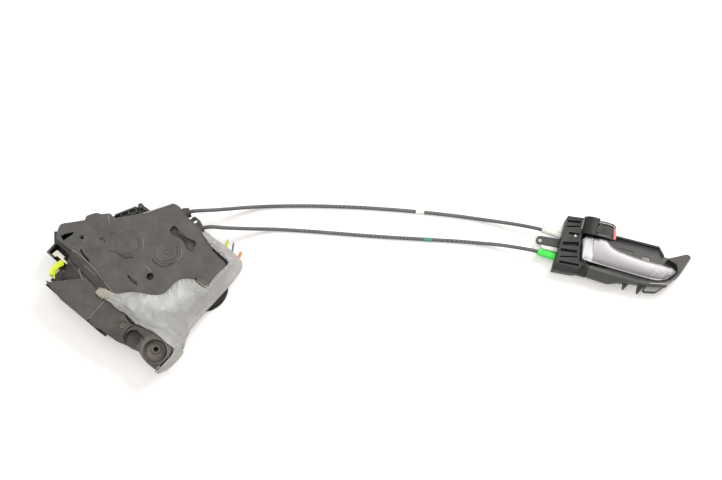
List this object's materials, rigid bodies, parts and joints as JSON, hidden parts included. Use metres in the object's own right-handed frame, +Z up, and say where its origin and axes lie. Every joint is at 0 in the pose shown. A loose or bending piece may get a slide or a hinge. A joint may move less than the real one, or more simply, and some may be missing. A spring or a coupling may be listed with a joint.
{
  "type": "vehicle door lock with inside handle",
  "caption": "Door latch with actuator housing, shield and wiring seal, joined by pull cables to an inside handle with chrome lever and lock knob.",
  "frame": {"origin": "middle of the outer box at the table, with the cables left out", "axes": "+X from the latch to the handle, +Y away from the viewer, +Z up from the table"},
  "size_m": [0.6894, 0.1884, 0.0517],
  "materials": {
    "cover_plastic": "moulded, fine grain, dusty",
    "case_plastic": "moulded, fine grain",
    "black_plastic": "moulded satin",
    "shield_plastic": "moulded, dusty brown grey",
    "handle_plastic": "moulded satin black",
    "gear_plastic": "natural",
    "coated_steel": "black electrocoat",
    "steel": "turned or stamped",
    "zinc_steel": "zinc plated",
    "motor_can": "drawn can",
    "chrome": "satin chrome, scuffed at the tip",
    "seal_sheet": "soft waterproof sheet, creased",
    "bumper_rubber": "matte",
    "conduit_plastic": "extruded",
    "white_plastic": "moulded",
    "green_plastic": "moulded",
    "green_tape": "printed band",
    "clip_plastic": "moulded",
    "lever_white": "pale coated",
    "mark_red": "moulded",
    "wire_sleeve": "coloured sleeves"
  },
  "bodies": {
    "housing": {"actuator_cover": "cover_plastic", "actuator_case": "case_plastic", "pivot_pins": "steel", "lock_motor": "motor_can", "position_switch": "black_plastic", "cover_screws": "steel", "round_cover": "black_plastic", "harness_connector": "black_plastic", "wire_ends": "wire_sleeve", "wiring_seal": "seal_sheet", "latch_plate": "coated_steel", "latch_case": "black_plastic", "back_plate": "zinc_steel", "fork_pin": "steel", "pawl_pin": "steel", "fork_spring": "steel", "pawl_spring": "steel", "striker_bumper": "bumper_rubber", "outside_lever_pin": "steel", "shield_strip": "shield_plastic", "shield_foot": "shield_plastic", "fixing_bush": "zinc_steel", "lock_ferrule": "black_plastic", "open_ferrule": "black_plastic", "lock_conduit": "conduit_plastic", "open_conduit": "conduit_plastic", "white_band": "white_plastic", "green_band": "green_tape", "white_fitting": "white_plastic", "green_fitting": "green_plastic", "handle_frame": "handle_plastic", "handle_bezel": "handle_plastic", "hinge_pin": "steel", "handle_spring": "steel"},
    "fork": {"fork_bolt": "coated_steel"},
    "pawl": {"pawl": "coated_steel"},
    "outside_lever": {"outside_lever": "lever_white", "rod_clip": "clip_plastic"},
    "worm": {"motor_worm": "gear_plastic"},
    "wheel": {"worm_wheel": "gear_plastic"},
    "lock_lever": {"lock_lever": "zinc_steel"},
    "open_lever": {"open_lever": "zinc_steel"},
    "lock_wire_end": {"lock_wire_end": "steel"},
    "open_wire_end": {"open_wire_end": "steel"},
    "lock_pull_wire": {"lock_pull_wire": "steel"},
    "open_pull_wire": {"open_pull_wire": "steel"},
    "handle_lever": {"handle_lever": "chrome"},
    "lock_knob": {"lock_knob": "black_plastic", "knob_mark": "mark_red"}
  },
  "joints": [
    {"name": "handle_pull", "type": "hinge", "parent": "housing", "child": "handle_lever", "pos_m": [0.23584, 0.0425, 0.024], "axis": [-0.284, -0.9588, 0], "range_deg": [0, 35], "stiffness_Nm_per_rad": 0.12, "springref_deg": -20.05},
    {"name": "knob_turn", "type": "hinge", "parent": "housing", "child": "lock_knob", "pos_m": [0.24254, 0.06513, 0.024], "axis": [0.284, 0.9588, 0], "range_deg": [0, 18]},
    {"name": "fork_close", "type": "hinge", "parent": "housing", "child": "fork", "pos_m": [-0.32213, -0.01001, 0.021], "axis": [-0.6494, -0.7604, 0], "range_deg": [0, 62], "stiffness_Nm_per_rad": 0.05, "springref_deg": -28.65},
    {"name": "outside_lever_turn", "type": "hinge", "parent": "housing", "child": "outside_lever", "pos_m": [-0.31404, 0.01793, 0.027], "axis": [-0.6494, -0.7604, 0], "range_deg": [0, 18], "stiffness_Nm_per_rad": 0.04, "springref_deg": -28.65},
    {"name": "wheel_turn", "type": "hinge", "parent": "housing", "child": "wheel", "pos_m": [-0.25554, 0.04424, 0.0287], "axis": [0, 0, 1], "range_deg": [-45, 45]},
    {"name": "worm_spin", "type": "hinge", "parent": "housing", "child": "worm", "pos_m": [-0.26719, 0.05419, 0.0287], "axis": [0.6494, 0.7604, 0], "range_deg": [-1350, 1350]},
    {"name": "pawl_lift", "type": "hinge", "parent": "housing", "child": "pawl", "pos_m": [-0.29323, -0.03469, 0.022], "axis": [0.6494, 0.7604, 0], "range_deg": [0, 10]},
    {"name": "open_pull_slide", "type": "slide", "parent": "housing", "child": "open_pull_wire", "axis": [0.9588, -0.284, 0], "range_m": [0, 0.0086]},
    {"name": "open_end_slide", "type": "slide", "parent": "housing", "child": "open_wire_end", "axis": [0.9426, 0.3338, 0], "range_m": [0, 0.0086]},
    {"name": "open_lever_turn", "type": "hinge", "parent": "housing", "child": "open_lever", "pos_m": [-0.21424, 0.03593, 0.036], "axis": [0, 0, -1], "range_deg": [0, 35]},
    {"name": "lock_pull_slide", "type": "slide", "parent": "housing", "child": "lock_pull_wire", "axis": [-0.9588, 0.284, 0], "range_m": [0, 0.0045]},
    {"name": "lock_end_slide", "type": "slide", "parent": "housing", "child": "lock_wire_end", "axis": [-0.9426, -0.3338, 0], "range_m": [0, 0.0045]},
    {"name": "lock_lever_turn", "type": "hinge", "parent": "housing", "child": "lock_lever", "pos_m": [-0.25554, 0.04424, 0.036], "axis": [0, 0, 1], "range_deg": [0, 18]}
  ],
  "couplings": [
    {"joint": "pawl_lift", "follows": "handle_pull", "ratio": 0.28571},
    {"joint": "open_pull_slide", "follows": "handle_pull", "m_per_rad": 0.014},
    {"joint": "open_end_slide", "follows": "handle_pull", "m_per_rad": 0.014},
    {"joint": "open_lever_turn", "follows": "handle_pull", "ratio": 1},
    {"joint": "lock_pull_slide", "follows": "knob_turn", "m_per_rad": 0.014},
    {"joint": "lock_end_slide", "follows": "knob_turn", "m_per_rad": 0.014},
    {"joint": "lock_lever_turn", "follows": "knob_turn", "ratio": 1},
    {"joint": "worm_spin", "follows": "wheel_turn", "ratio": 30}
  ]
}
